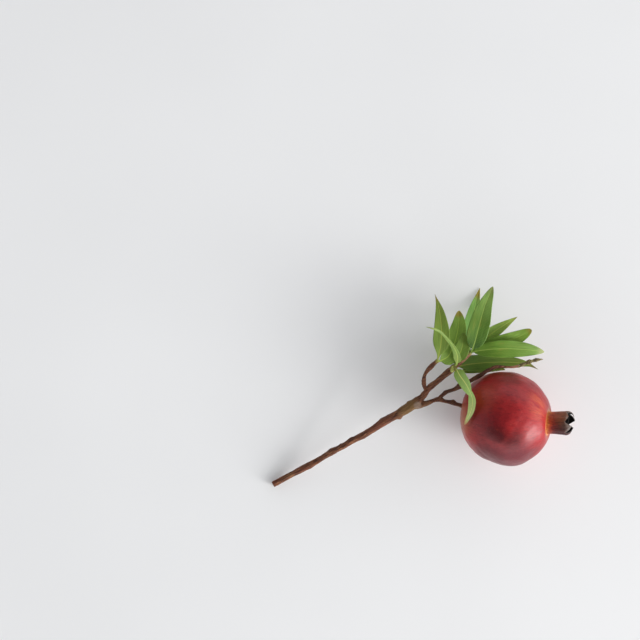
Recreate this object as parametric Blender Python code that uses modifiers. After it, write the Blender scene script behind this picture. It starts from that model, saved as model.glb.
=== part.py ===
"""A cut pomegranate sprig lying on a table: one fruit with its dried crown, the woody twig it grew on,
the small buds of the twig, and its leaves. Everything is modelled in place. The table is z = 0, and the
origin is the middle of the flat spot that the fruit rests on."""

import math

import bmesh
import bpy
import numpy as np
from mathutils import Matrix, Vector

MM = 0.001
GAP = 0.3                          # clear space between pieces that touch in nature, mm

# Fruit: nearly a ball, lying on its side with the crown end lifted.
FRUIT_CENTRE = (0.0, 0.0, 43.9)
FRUIT_RADIUS = 45.2
FRUIT_HEADING = -4.5               # compass direction of the crown in the table's plane, degrees from +X
FRUIT_LIFT = 20.0                  # how far the crown end points up, degrees
FRUIT_LEAN = 1.2                   # sideways lean of the belly, mm
FRUIT_RIBS = 6
FRUIT_RIB_HEIGHT = 0.4
CROWN_SEAT = 41.3                  # distance from the centre to the flat seat of the crown
FRUIT_RINGS = 30
FRUIT_SIDES = 48

# Crown: the dried calyx, a short tube whose six lobes curl in over its mouth.
CROWN_OUTSIDE = ((10.4, 0.0), (10.7, 3.0), (10.8, 8.0), (11.1, 13.0), (11.4, 17.0), (11.1, 19.4),
                 (10.0, 21.4), (8.2, 22.9), (6.2, 23.6))
CROWN_INSIDE = ((5.8, 22.9), (7.3, 22.1), (8.8, 20.5), (9.6, 18.0), (9.3, 13.0), (8.8, 8.0), (8.0, 5.4),
                (5.6, 4.6))
CROWN_BEND = 0.07                  # sideways drift of the tube per mm of its height, to its left
CROWN_LOBES = 6
CROWN_NOTCH_DEPTH = 5.2
CROWN_NOTCH_WIDTH = 5.0
CROWN_SIDES = 48

# Twig: the routes of its axes and the radius at each point, mm.
MAIN_STEM = (
    ((-227.2, -68.5, 3.25), 3.15), ((-214.5, -61.4, 5.5), 3.15), ((-200.5, -54.0, 8.5), 3.15),
    ((-181.0, -42.4, 13.5), 3.15), ((-169.7, -35.5, 17.0), 3.1), ((-161.0, -30.6, 19.5), 3.1),
    ((-151.0, -24.7, 22.5), 3.2), ((-131.6, -13.2, 28.0), 3.5), ((-112.3, -0.4, 34.0), 3.9),
    ((-102.4, 5.3, 37.0), 4.7), ((-94.2, 10.4, 39.3), 4.9), ((-86.2, 16.7, 41.5), 4.1),
    ((-80.9, 21.6, 43.2), 3.3), ((-76.6, 27.3, 44.6), 3.0), ((-70.4, 33.6, 46.0), 2.9),
    ((-62.8, 40.0, 47.5), 2.9), ((-55.6, 46.2, 49.0), 2.9), ((-51.4, 49.8, 49.8), 2.9),
    ((-48.4, 52.4, 50.2), 2.3), ((-44.5, 55.3, 50.8), 2.0), ((-35.5, 64.2, 52.3), 1.7))
LEFT_SHOOT = (
    ((-76.8, 26.3, 44.4), 2.2), ((-79.7, 31.3, 45.6), 2.0), ((-80.4, 37.6, 47.6), 1.9),
    ((-78.5, 44.3, 50.2), 1.9), ((-74.2, 50.2, 53.0), 1.9), ((-70.3, 54.1, 54.6), 2.0),
    ((-67.7, 56.3, 55.5), 2.1))
FRUIT_STALK = (
    ((-90.8, 11.0, 40.0), 2.6), ((-82.4, 12.9, 41.2), 2.6), ((-75.7, 15.3, 42.0), 2.4),
    ((-69.9, 17.5, 42.6), 2.2), ((-64.4, 18.3, 43.1), 2.4), ((-59.4, 16.8, 43.5), 2.2),
    ((-53.8, 15.3, 43.9), 2.2), ((-48.4, 14.0, 44.1), 2.1), ((-44.4, 12.8, 44.1), 2.0))
RIGHT_SHOOT = (
    ((-65.0, 18.6, 43.1), 2.2), ((-62.0, 22.8, 44.0), 2.1), ((-57.6, 25.6, 45.6), 2.0),
    ((-51.0, 28.4, 47.6), 2.2), ((-44.5, 31.8, 50.0), 2.7), ((-39.3, 35.2, 52.4), 2.0),
    ((-32.4, 39.1, 54.6), 1.9), ((-25.9, 42.8, 56.2), 1.8), ((-19.3, 47.0, 57.3), 1.7),
    ((-13.6, 49.7, 57.8), 1.6), ((-6.8, 50.5, 57.8), 1.5), ((0.9, 50.2, 57.5), 1.5),
    ((8.1, 50.1, 57.2), 1.6))
KNUCKLES = (                       # old bud scars and knobs on the bark: place, radius
    ((-170.3, -33.2, 18.0), 2.3), ((-150.6, -22.0, 23.4), 2.3), ((-102.6, 1.0, 36.0), 2.2),
    ((-85.0, 13.2, 40.8), 3.2), ((-50.9, 17.0, 44.9), 2.0), ((-61.2, 27.4, 45.2), 1.7),
    ((-46.8, 32.9, 50.4), 2.2), ((-160.2, -26.9, 20.0), 1.3), ((-94.8, 15.6, 40.6), 1.9))
# Buds: short scaly swellings, each a twig whose radius rises and falls over its scales.
BUDS = {
    "shoot_tip_bud": (
        ((10.0, 50.9, 57.2), 1.0), ((13.4, 52.5, 57.3), 2.0), ((16.7, 53.9, 57.4), 1.3),
        ((20.0, 55.3, 57.5), 2.4), ((23.5, 56.2, 57.4), 1.4), ((26.7, 57.0, 57.3), 2.0),
        ((29.7, 57.5, 57.2), 1.2), ((33.3, 57.6, 57.1), 0.5)),
    "node_bud": (
        ((-54.1, 44.9, 53.2), 0.9), ((-53.5, 46.7, 54.3), 1.6), ((-53.3, 48.7, 55.2), 1.2),
        ((-53.7, 50.9, 55.8), 0.5)),
}
TWIG_STEP = 4.0                    # spacing of the rings along a twig
BUD_STEP = 1.2                     # and along a bud

# Leaves: the points of the midrib, half the greatest width, where along the leaf that falls (0 to 1), how
# full the outline is (1 is an even taper, less is blunter), and the roll of the blade about the midrib at
# even steps along it, degrees.
LEAVES = {
    "leaf_left_outer": (((-67.2, 59.2, 56.6), (-65.0, 70.8, 60.0), (-64.4, 87.0, 62.0),
                         (-66.4, 105.8, 60.0), (-70.3, 120.6, 55.0)), 7.5, 0.36, 1.5, (-6, -6, -4)),
    "leaf_left_inner": (((-64.5, 56.2, 54.0), (-56.4, 61.3, 51.0), (-49.9, 75.3, 46.6),
                         (-46.1, 90.8, 43.0), (-45.5, 104.5, 40.0)), 9.2, 0.36, 0.6, (8, 0, 0)),
    "leaf_back_low": (((-36.1, 67.9, 49.0), (-33.5, 77.8, 30.0), (-29.4, 94.3, 11.0),
                       (-25.4, 111.3, 3.6), (-20.8, 127.5, 0.45)), 8.2, 0.3, 1.05, (0, 0, 0)),
    "leaf_front_tall": (((-34.0, 67.9, 56.2), (-31.6, 76.8, 60.2), (-27.6, 92.8, 62.0),
                         (-22.6, 108.8, 59.0), (-14.2, 127.6, 53.0)), 9.5, 0.4, 0.68, (0, 0, 0)),
    "leaf_twisted": (((-49.0, 54.0, 55.0), (-48.7, 59.3, 60.0), (-52.0, 67.8, 66.0),
                      (-59.2, 77.5, 69.5), (-68.0, 85.3, 70.5), (-79.8, 88.9, 68.5)), 3.5, 0.22, 1.0,
                     (-10, -35, -62, -60, -20)),
    "leaf_over_fruit": (((-48.9, 47.3, 53.4), (-46.7, 42.4, 60.0), (-41.8, 34.6, 68.5),
                         (-38.0, 26.4, 75.0), (-36.4, 18.0, 78.0), (-38.2, 7.8, 76.0),
                         (-43.0, -4.2, 68.0)), 5.2, 0.22, 0.5, (8, 10, 30, 72, 42, 38, 35)),
    "leaf_right_upper": (((-31.9, 67.7, 51.0), (-23.1, 76.3, 49.5), (-12.9, 83.9, 49.0),
                          (-1.9, 90.9, 48.0), (10.3, 98.5, 46.0)), 5.6, 0.4, 0.95, (0, 0, 0)),
    "leaf_right_blunt": (((-31.9, 66.5, 53.2), (-17.5, 71.7, 54.4), (-3.1, 75.1, 54.4),
                          (9.7, 78.9, 53.2), (23.5, 85.8, 50.5)), 6.6, 0.62, 0.5, (0, 0, 0)),
    "leaf_right_long": (((-32.5, 65.1, 54.4), (-23.8, 66.5, 57.0), (-11.4, 67.7, 59.5),
                         (3.2, 67.7, 58.5), (19.9, 66.7, 55.5), (35.7, 64.5, 50.0)), 8.0, 0.52, 0.68,
                        (0, 0, 0)),
    "leaf_right_low": (((-47.1, 50.7, 46.4), (-35.5, 52.7, 45.0), (-20.9, 54.0, 44.2),
                        (-4.9, 54.6, 43.4), (11.6, 53.9, 42.6), (22.0, 52.0, 42.0),
                        (31.1, 47.5, 41.0)), 7.8, 0.25, 1.35, (0, 0, 0)),
    "leaf_under_shoot": (((-46.7, 45.6, 45.4), (-34.9, 46.4, 42.6), (-20.9, 47.6, 40.2),
                          (-7.9, 48.3, 38.8), (-0.3, 46.9, 38.0)), 2.9, 0.5, 0.8, (0, 0, 0)),
    "leaf_inner_upright": (((-49.0, 56.6, 53.0), (-46.4, 62.3, 54.4), (-43.4, 71.5, 54.6),
                            (-42.4, 83.4, 53.0)), 7.0, 0.45, 0.7, (0, 0, 0)),
}
LEAF_THICKNESS = 0.5
LEAF_FOLD = 0.16                   # rise of the edges above the midrib, per mm of half width
LEAF_STALK_HALF_WIDTH = 0.7
LEAF_TIP_HALF_WIDTH = 0.25
LEAF_ROWS = 16
LEAF_COLUMNS = 4

FINISHES = {                       # colour, roughness
    "rind": ((0.26, 0.03, 0.035), 0.35),
    "dry_crown": ((0.14, 0.05, 0.035), 0.7),
    "bark": ((0.11, 0.05, 0.03), 0.75),
    "bud_scale": ((0.16, 0.15, 0.04), 0.7),
    "leaf_green": ((0.12, 0.25, 0.05), 0.5),
}


def clear_scene():
    for obj in list(bpy.data.objects):
        bpy.data.objects.remove(obj, do_unlink=True)


def new_collection(name):
    group = bpy.data.collections.new(name)
    bpy.context.scene.collection.children.link(group)
    return group


def finish_material(name):
    colour, roughness = FINISHES[name]
    material = bpy.data.materials.get(name)
    if material is None:
        material = bpy.data.materials.new(name)
        material.use_nodes = True
        shader = material.node_tree.nodes["Principled BSDF"]
        shader.inputs["Base Color"].default_value = (*colour, 1.0)
        shader.inputs["Roughness"].default_value = roughness
        shader.inputs["Metallic"].default_value = 0.0
    return material


def mesh_object(name, bm, group):
    """A new object that holds the mesh of bm, with its outward faces worked out."""
    bmesh.ops.recalc_face_normals(bm, faces=bm.faces)
    mesh = bpy.data.meshes.new(name)
    bm.to_mesh(mesh)
    bm.free()
    obj = bpy.data.objects.new(name, mesh)
    group.objects.link(obj)
    return obj


def as_cutter(obj):
    obj.hide_render = True
    obj.display_type = "WIRE"
    return obj


def combine(target, other, operation):
    step = target.modifiers.new(other.name, "BOOLEAN")
    step.operation = operation
    step.solver = "EXACT"
    step.object = other


def smooth(obj, material):
    obj.data.polygons.foreach_set("use_smooth", [True] * len(obj.data.polygons))
    obj.data.materials.append(finish_material(material))


def through(points, at):
    """A smooth curve through evenly numbered points: cubic pieces whose slope at each point is half the
    step between its neighbours. at runs from 0 at the first point to 1 at the last."""
    points = np.asarray(points, float)
    spans = len(points) - 1
    place = np.clip(np.asarray(at, float), 0.0, 1.0) * spans
    first = np.minimum(place.astype(int), spans - 1)
    t = (place - first)[:, None]
    slope = np.gradient(points, axis=0)
    start, end = points[first], points[first + 1]
    leave, arrive = slope[first], slope[first + 1]
    return ((2 * t**3 - 3 * t**2 + 1) * start + (t**3 - 2 * t**2 + t) * leave
            + (3 * t**2 - 2 * t**3) * end + (t**3 - t**2) * arrive)


# ---------------------------------------------------------------- fruit

def fruit_axes():
    """The fruit's own directions: towards the crown, level to its left, and up through its top."""
    heading, lift = math.radians(FRUIT_HEADING), math.radians(FRUIT_LIFT)
    along = np.array((math.cos(heading) * math.cos(lift), math.sin(heading) * math.cos(lift),
                      math.sin(lift)))
    left = np.array((-math.sin(heading), math.cos(heading), 0.0))
    return along, left, np.cross(along, left)


def fruit_radius(polar, turn):
    """Distance from the centre to the rind. polar is the angle from the crown, and turn goes round the
    axis from the left side over the top. The belly leans to one side, is fullest towards the stalk, a
    little drawn in behind the middle and at both ends, flatter on the right shoulder, and has soft ribs."""
    def swell(height, angle, spread):
        return height * np.exp(-(((polar - math.radians(angle)) / math.radians(spread)) ** 2))
    lean = -FRUIT_LEAN * np.sin(2 * polar) * np.cos(turn)
    ribs = FRUIT_RIB_HEIGHT * np.cos(FRUIT_RIBS * turn) * np.sin(polar) ** 2
    shoulder = swell(-1.7, 42, 18) * (1 - np.cos(turn)) / 2
    return (FRUIT_RADIUS + lean + ribs + shoulder + swell(1.0, 137, 20) + swell(-0.7, 103, 14)
            + swell(-2.6, 0, 20) + swell(-1.3, 180, 26))


def make_fruit(group, cutters):
    """A ball whose points move out or in to the rind, pressed flat at the crown's seat, and cut flat by
    the table."""
    bm = bmesh.new()
    bmesh.ops.create_uvsphere(bm, u_segments=FRUIT_SIDES, v_segments=FRUIT_RINGS, radius=1.0)
    unit = np.array([v.co[:] for v in bm.verts])
    polar = np.arccos(np.clip(unit[:, 2], -1, 1))
    turn = np.arctan2(unit[:, 1], unit[:, 0])
    radius = fruit_radius(polar, turn)
    along, left, up = fruit_axes()
    forward = np.minimum(radius * np.cos(polar), CROWN_SEAT)
    sideways = radius * np.sin(polar)
    points = (np.array(FRUIT_CENTRE) + forward[:, None] * along
              + (sideways * np.cos(turn))[:, None] * left + (sideways * np.sin(turn))[:, None] * up)
    for vert, point in zip(bm.verts, points * MM):
        vert.co = point
    fruit = mesh_object("fruit", bm, group)
    smooth(fruit, "rind")

    size = 200 * MM
    bm = bmesh.new()
    bmesh.ops.create_cube(bm, size=size, matrix=Matrix.Translation((0, 0, -size / 2)))
    combine(fruit, as_cutter(mesh_object("table_cut", bm, cutters)), "DIFFERENCE")
    return fruit


# ---------------------------------------------------------------- crown

def crown_matrix():
    """Carries the crown's own frame (its axis along +Z, its base at 0) to its seat on the fruit. The base
    stays flat on the seat, and the tube leans to its left."""
    along, left, up = (Vector(v) for v in fruit_axes())
    turn = Matrix((left, up, along + CROWN_BEND * left)).transposed().to_4x4()
    seat = Vector(FRUIT_CENTRE) + along * (CROWN_SEAT + GAP)
    return Matrix.Translation(seat * MM) @ turn


def make_crown(group, cutters):
    """A turned cup with a solid base, and notches that part its lip into lobes."""
    profile = [(0.0, CROWN_OUTSIDE[0][1]), *CROWN_OUTSIDE, *CROWN_INSIDE, (0.0, CROWN_INSIDE[-1][1] - 0.2)]
    bm = bmesh.new()
    verts = [bm.verts.new((r * MM, 0, z * MM)) for r, z in profile]
    edges = [bm.edges.new(pair) for pair in zip(verts, verts[1:])]
    bmesh.ops.spin(bm, geom=verts + edges, axis=(0, 0, 1), angle=math.tau, steps=CROWN_SIDES, use_merge=True)
    bmesh.ops.remove_doubles(bm, verts=bm.verts, dist=0.00001)
    bmesh.ops.transform(bm, matrix=crown_matrix(), verts=bm.verts)
    crown = mesh_object("calyx_crown", bm, group)
    smooth(crown, "dry_crown")

    top = CROWN_OUTSIDE[-1][1]
    bm = bmesh.new()
    for lobe in range(CROWN_LOBES):
        around = Matrix.Rotation(math.tau * (lobe + 0.35) / CROWN_LOBES, 4, "Z")
        wedge = bmesh.ops.create_cone(bm, cap_ends=True, segments=3, radius1=1.0, radius2=1.0, depth=1.0)
        # A three-sided bar lying along the radius, with one edge down in the notch and a flat side above.
        shape = (Matrix.Translation((8.6 * MM, 0, (top + 1.2 - CROWN_NOTCH_DEPTH / 3) * MM))
                 @ Matrix.Diagonal((11 * MM, CROWN_NOTCH_WIDTH / 1.732 * MM,
                                    (CROWN_NOTCH_DEPTH + 1.2) / 1.5 * MM, 1.0))
                 @ Matrix.Rotation(math.pi / 2, 4, "Y"))
        bmesh.ops.transform(bm, matrix=around @ shape, verts=wedge["verts"])
    bmesh.ops.transform(bm, matrix=crown_matrix(), verts=bm.verts)
    combine(crown, as_cutter(mesh_object("crown_notches", bm, cutters)), "DIFFERENCE")
    return crown


# ---------------------------------------------------------------- twig

def make_twig(name, route, group, ring_step=TWIG_STEP):
    """A round twig along a smooth curve through the route, its radius blended from point to point."""
    stations = np.array([(*place, radius) for place, radius in route])
    length = np.linalg.norm(np.diff(stations[:, :3], axis=0), axis=1).sum()
    rings = through(stations, np.linspace(0, 1, max(round(length / ring_step), len(route)) + 1))
    curve = bpy.data.curves.new(name, "CURVE")
    curve.dimensions = "3D"
    curve.bevel_depth = MM
    curve.bevel_resolution = 3
    curve.use_fill_caps = True
    spline = curve.splines.new("POLY")
    spline.points.add(len(rings) - 1)
    for point, (x, y, z, radius) in zip(spline.points, rings):
        point.co = (x * MM, y * MM, z * MM, 1.0)
        point.radius = radius
    path = bpy.data.objects.new(name, curve)
    group.objects.link(path)
    seen = path.evaluated_get(bpy.context.evaluated_depsgraph_get())
    mesh = bpy.data.meshes.new_from_object(seen)
    bpy.data.objects.remove(path, do_unlink=True)
    bm = bmesh.new()
    bm.from_mesh(mesh)
    bmesh.ops.remove_doubles(bm, verts=bm.verts, dist=0.00001)
    bpy.data.meshes.remove(mesh)
    return mesh_object(name, bm, group)


def make_ball(name, place, radius, group):
    bm = bmesh.new()
    bmesh.ops.create_icosphere(bm, subdivisions=2, radius=radius * MM,
                               matrix=Matrix.Translation(Vector(place) * MM))
    return mesh_object(name, bm, group)


def make_woody_stem(group, cutters):
    """The main stem, with its side shoots and knuckles grown into it."""
    stem = make_twig("woody_stem", MAIN_STEM, group)
    for name, route in (("left_shoot", LEFT_SHOOT), ("fruit_stalk", FRUIT_STALK),
                        ("right_shoot", RIGHT_SHOOT)):
        combine(stem, as_cutter(make_twig(name, route, cutters)), "UNION")
    for number, (place, radius) in enumerate(KNUCKLES):
        knuckle = make_ball(f"knuckle_{number}", place, radius, cutters)
        combine(stem, as_cutter(knuckle), "UNION")
    smooth(stem, "bark")
    return stem


def make_bud(name, group):
    bud = make_twig(name, BUDS[name], group, BUD_STEP)
    smooth(bud, "bud_scale")
    return bud


# ---------------------------------------------------------------- leaves

def make_leaf(name, group):
    """A flat grid bent along the midrib. Its half width swells from the stalk to the widest place and
    tapers to the tip, its edges rise above the midrib, and the blade rolls about it."""
    midrib, half_width, widest, fullness, rolls = LEAVES[name]
    bm = bmesh.new()
    bmesh.ops.create_grid(bm, x_segments=LEAF_ROWS, y_segments=LEAF_COLUMNS, size=1.0)
    flat = np.array([v.co[:] for v in bm.verts])
    run = (flat[:, 0] + 1) / 2
    across = flat[:, 1]

    step = 0.001
    centre = through(midrib, run)
    ahead = through(midrib, np.minimum(run + step, 1.0)) - through(midrib, np.maximum(run - step, 0.0))
    ahead /= np.linalg.norm(ahead, axis=1)[:, None]
    side = np.cross((0.0, 0.0, 1.0), ahead)
    side /= np.linalg.norm(side, axis=1)[:, None]
    face = np.cross(ahead, side)
    roll = np.radians(np.interp(run, np.linspace(0, 1, len(rolls)), rolls))[:, None]
    across_blade = side * np.cos(roll) + face * np.sin(roll)
    out_of_blade = face * np.cos(roll) - side * np.sin(roll)

    phase = np.where(run < widest, run / (2 * widest), 0.5 + (run - widest) / (2 * (1 - widest)))
    taper = np.interp(run, (0, 1), (LEAF_STALK_HALF_WIDTH, LEAF_TIP_HALF_WIDTH))
    half = taper + half_width * np.maximum(np.sin(np.pi * phase), 0.0) ** fullness
    offset = across * half
    points = centre + offset[:, None] * across_blade + (LEAF_FOLD * np.abs(offset))[:, None] * out_of_blade
    for vert, point in zip(bm.verts, points * MM):
        vert.co = point
    leaf = mesh_object(name, bm, group)
    skin = leaf.modifiers.new("thickness", "SOLIDIFY")
    skin.thickness = LEAF_THICKNESS * MM
    skin.offset = 0.0
    smooth(leaf, "leaf_green")
    return leaf


clear_scene()
sprig = new_collection("pomegranate_sprig")
helpers = new_collection("cutters")
make_fruit(sprig, helpers)
make_crown(sprig, helpers)
make_woody_stem(sprig, helpers)
for bud_name in BUDS:
    make_bud(bud_name, sprig)
for leaf_name in LEAVES:
    make_leaf(leaf_name, sprig)
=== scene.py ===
"""A cut pomegranate sprig on a pale table: the fruit, its dried crown, the woody twig, the buds and the
leaves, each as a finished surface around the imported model. Lengths of the sprig are millimetres and become
metres where the mesh is made. The table, windows and camera are placed in metres."""

import math

import bpy
import numpy as np
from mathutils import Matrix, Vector


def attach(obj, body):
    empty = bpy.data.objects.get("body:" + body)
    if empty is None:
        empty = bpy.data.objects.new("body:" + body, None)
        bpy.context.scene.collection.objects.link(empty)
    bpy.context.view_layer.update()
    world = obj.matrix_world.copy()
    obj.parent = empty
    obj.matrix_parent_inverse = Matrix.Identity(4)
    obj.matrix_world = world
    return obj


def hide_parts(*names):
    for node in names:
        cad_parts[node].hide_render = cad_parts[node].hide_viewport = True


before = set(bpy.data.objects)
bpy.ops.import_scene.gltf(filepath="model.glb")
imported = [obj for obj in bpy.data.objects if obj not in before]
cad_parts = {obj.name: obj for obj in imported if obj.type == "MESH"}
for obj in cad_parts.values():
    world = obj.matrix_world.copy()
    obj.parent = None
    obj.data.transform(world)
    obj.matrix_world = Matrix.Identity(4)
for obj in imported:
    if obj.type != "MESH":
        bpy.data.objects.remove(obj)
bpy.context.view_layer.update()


# ---------------------------------------------------------------- fruit
# The ripe fruit is a nearly round berry in a leathery satin rind: deep maroon where it grew in shade, red
# and orange with yellow ground colour where the crown grows, and russet at the stalk. It rests on a small
# flat.

MM = 0.001


def surface(name, rows, values=None):
    """A closed piece from rings of points, rows of shape (rings, sides, 3) in mm. Each ring joins the next
    and its own first point, and the first and last ring close on their middle points. values are numbers
    for each point, kept as attributes that the materials read."""
    rings, sides, _ = rows.shape
    poles = np.stack([rows[0].mean(0), rows[-1].mean(0)])
    points = np.concatenate([rows.reshape(-1, 3), poles]) * MM
    ring, side = np.meshgrid(np.arange(rings - 1), np.arange(sides), indexing="ij")
    after = (side + 1) % sides
    quads = np.stack([ring * sides + side, ring * sides + after,
                      (ring + 1) * sides + after, (ring + 1) * sides + side], -1).reshape(-1, 4)
    edge = np.arange(sides)
    next_edge = (edge + 1) % sides
    first_pole, last_pole = rings * sides, rings * sides + 1
    last = (rings - 1) * sides
    start_fan = np.stack([np.full(sides, first_pole), next_edge, edge], -1)
    end_fan = np.stack([np.full(sides, last_pole), last + edge, last + next_edge], -1)
    mesh = bpy.data.meshes.new(name)
    mesh.from_pydata(points.tolist(), [], quads.tolist() + start_fan.tolist() + end_fan.tolist())
    mesh.polygons.foreach_set("use_smooth", [True] * len(mesh.polygons))
    for key, value in (values or {}).items():
        width = value.shape[2] if value.ndim == 3 else 1
        ends = np.stack([value[0].mean(0), value[-1].mean(0)])
        flat = np.concatenate([value.reshape(-1, width), ends.reshape(-1, width)])
        attribute = mesh.attributes.new(key, "FLOAT_VECTOR" if width == 3 else "FLOAT", "POINT")
        attribute.data.foreach_set("vector" if width == 3 else "value", flat.ravel().astype(np.float32))
    mesh.update()
    piece = bpy.data.objects.new(name, mesh)
    bpy.context.scene.collection.objects.link(piece)
    return piece


def waves(points, size, seed, count=12):
    """Smooth uneven relief of about unit height: a sum of sine waves in mixed directions, with lengths
    around size, each with its own phase."""
    draw = np.random.default_rng(seed)
    heading = draw.normal(size=(count, 3))
    heading *= (draw.uniform(0.7, 1.5, count) * math.tau / size / np.linalg.norm(heading, axis=1))[:, None]
    phase = draw.uniform(0, math.tau, count)
    return np.sin(points @ heading.T + phase).sum(-1) / math.sqrt(count / 2)


def srgb(red, green, blue):
    """A colour given in display numbers, 0 to 255, as the linear colour that shaders use."""
    shares = np.array([red, green, blue]) / 255
    linear = np.where(shares <= 0.04045, shares / 12.92, ((shares + 0.055) / 1.055) ** 2.4)
    return (*linear.tolist(), 1.0)


class Finish:
    """A procedural material in the making: its node tree, with short ways to add the usual nodes."""

    def __init__(self, name):
        self.material = bpy.data.materials.new(name)
        self.material.use_nodes = True
        self.tree = self.material.node_tree
        self.shader = self.tree.nodes["Principled BSDF"]

    def node(self, kind, output=0, values=(), **settings):
        made = self.tree.nodes.new("ShaderNode" + kind)
        for key, value in settings.items():
            setattr(made, key, value)
        for key, value in dict(values).items():
            self.feed(made.inputs[key], value)
        return made.outputs[output]

    def feed(self, socket, value):
        if isinstance(value, bpy.types.NodeSocket):
            self.tree.links.new(value, socket)
        else:
            socket.default_value = value

    def attribute(self, name, output=2):
        return self.node("Attribute", output, attribute_name=name)

    def place(self, centre=(0, 0, 0), turn=(0, 0, 0), scale=(1, 1, 1)):
        """Object coordinates seen from a centre in metres, turned, and divided by scale."""
        seat = self.node("TexCoord", 3)
        return self.node("Mapping", 0, {"Vector": seat, "Location": centre, "Rotation": turn,
                                        "Scale": scale}, vector_type="TEXTURE")

    def noise(self, where, scale, detail=3.0, rough=0.55, distort=0.0):
        return self.node("TexNoise", 0, {"Vector": where, "Scale": scale, "Detail": detail,
                                         "Roughness": rough, "Distortion": distort})

    def sums(self, operation, first, second=0.0, third=0.0):
        return self.node("Math", 0, {0: first, 1: second, 2: third}, operation=operation)

    def fade(self, value, low, high, floor=0.0, top=1.0):
        """0 to 1 (or floor to top) as value goes from low to high, smooth at both ends."""
        return self.node("MapRange", 0, {"Value": value, "From Min": low, "From Max": high,
                                         "To Min": floor, "To Max": top}, interpolation_type="SMOOTHSTEP")

    def closeness(self, where, point, near, far, top=1.0):
        """top within near of a point, and fading to 0 at far, in mm."""
        gap = self.node("VectorMath", 1, {0: where, 1: np.array(point) * MM}, operation="DISTANCE")
        return self.fade(gap, far * MM, near * MM, 0.0, top)

    def wobbled(self, where, scale, amount):
        """where, shifted unevenly by up to about half of amount, in mm, so that patches get soft odd
        outlines."""
        swirl = self.node("TexNoise", 1, {"Vector": where, "Scale": scale, "Detail": 3.0})
        centred = self.node("VectorMath", 0, {0: swirl, 1: (0.5, 0.5, 0.5)}, operation="SUBTRACT")
        return self.node("VectorMath", 0, {0: centred, 1: (amount * MM,) * 3, 2: where},
                         operation="MULTIPLY_ADD")

    def mix(self, share, first, second):
        """first where share is 0 and second where it is 1."""
        return self.node("Mix", 2, {0: share, 6: first, 7: second}, data_type="RGBA")

    def ramp(self, value, stops):
        """A colour that eases from stop to stop as value goes from 0 to 1."""
        made = self.tree.nodes.new("ShaderNodeValToRGB")
        made.color_ramp.interpolation = "EASE"
        band = made.color_ramp.elements
        while len(band) < len(stops):
            band.new(0.5)
        for step, (position, colour) in zip(band, stops):
            step.position = position
            step.color = colour
        self.feed(made.inputs[0], value)
        return made.outputs[0]

    def bump(self, height, strength, depth, base=None):
        values = {"Height": height, "Strength": strength, "Distance": depth}
        if base is not None:
            values["Normal"] = base
        return self.node("Bump", 0, values)

    def surface(self, colour, roughness, normal, **plain):
        """Feeds the shader. plain are values that are the same all over, set on its own sockets."""
        self.feed(self.shader.inputs["Base Color"], colour)
        self.feed(self.shader.inputs["Roughness"], roughness)
        self.feed(self.shader.inputs["Normal"], normal)
        for key, value in plain.items():
            self.shader.inputs[key.replace("_", " ").title().replace("Ior", "IOR")].default_value = value
        return self.material


def finished(piece, node, material):
    """The piece stands for its CAD node, rides with the sprig and takes its slot's finish."""
    piece.data.materials.append(material)
    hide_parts(node)
    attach(piece, "root")


FRUIT_CENTRE = np.array((0.0, 0.0, 43.9))
FRUIT_HEADING = math.radians(-4.5)
FRUIT_LIFT = math.radians(20)
RIND_RADIUS = 45                                # about, for lengths measured along the rind
CROWN_SEAT = 41.3                               # from the centre to the flat that the crown grows on
STALK_FOOT = np.array((-44.4, 12.8, 0.2))       # where the stalk meets the rind, from the fruit's centre

along = np.array((math.cos(FRUIT_HEADING) * math.cos(FRUIT_LIFT),
                  math.sin(FRUIT_HEADING) * math.cos(FRUIT_LIFT), math.sin(FRUIT_LIFT)))
left = np.array((-math.sin(FRUIT_HEADING), math.cos(FRUIT_HEADING), 0.0))
over = np.cross(along, left)


def rind_distance(polar, turn):
    """Distance from the fruit's centre to its rind. polar is the angle from the crown and turn goes round
    the axis. The belly leans to one side, is fullest towards the stalk and flatter on one shoulder, and
    has six soft ribs."""
    def swell(height, angle, spread):
        return height * np.exp(-(((polar - math.radians(angle)) / math.radians(spread)) ** 2))
    lean = -1.2 * np.sin(2 * polar) * np.cos(turn)
    ribs = 0.4 * np.cos(6 * turn) * np.sin(polar) ** 2
    shoulder = swell(-1.7, 42, 18) * (1 - np.cos(turn)) / 2
    return (45.2 + lean + ribs + shoulder + swell(1.0, 137, 20) + swell(-0.7, 103, 14)
            + swell(-2.6, 0, 20) + swell(-1.3, 180, 26))


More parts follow.
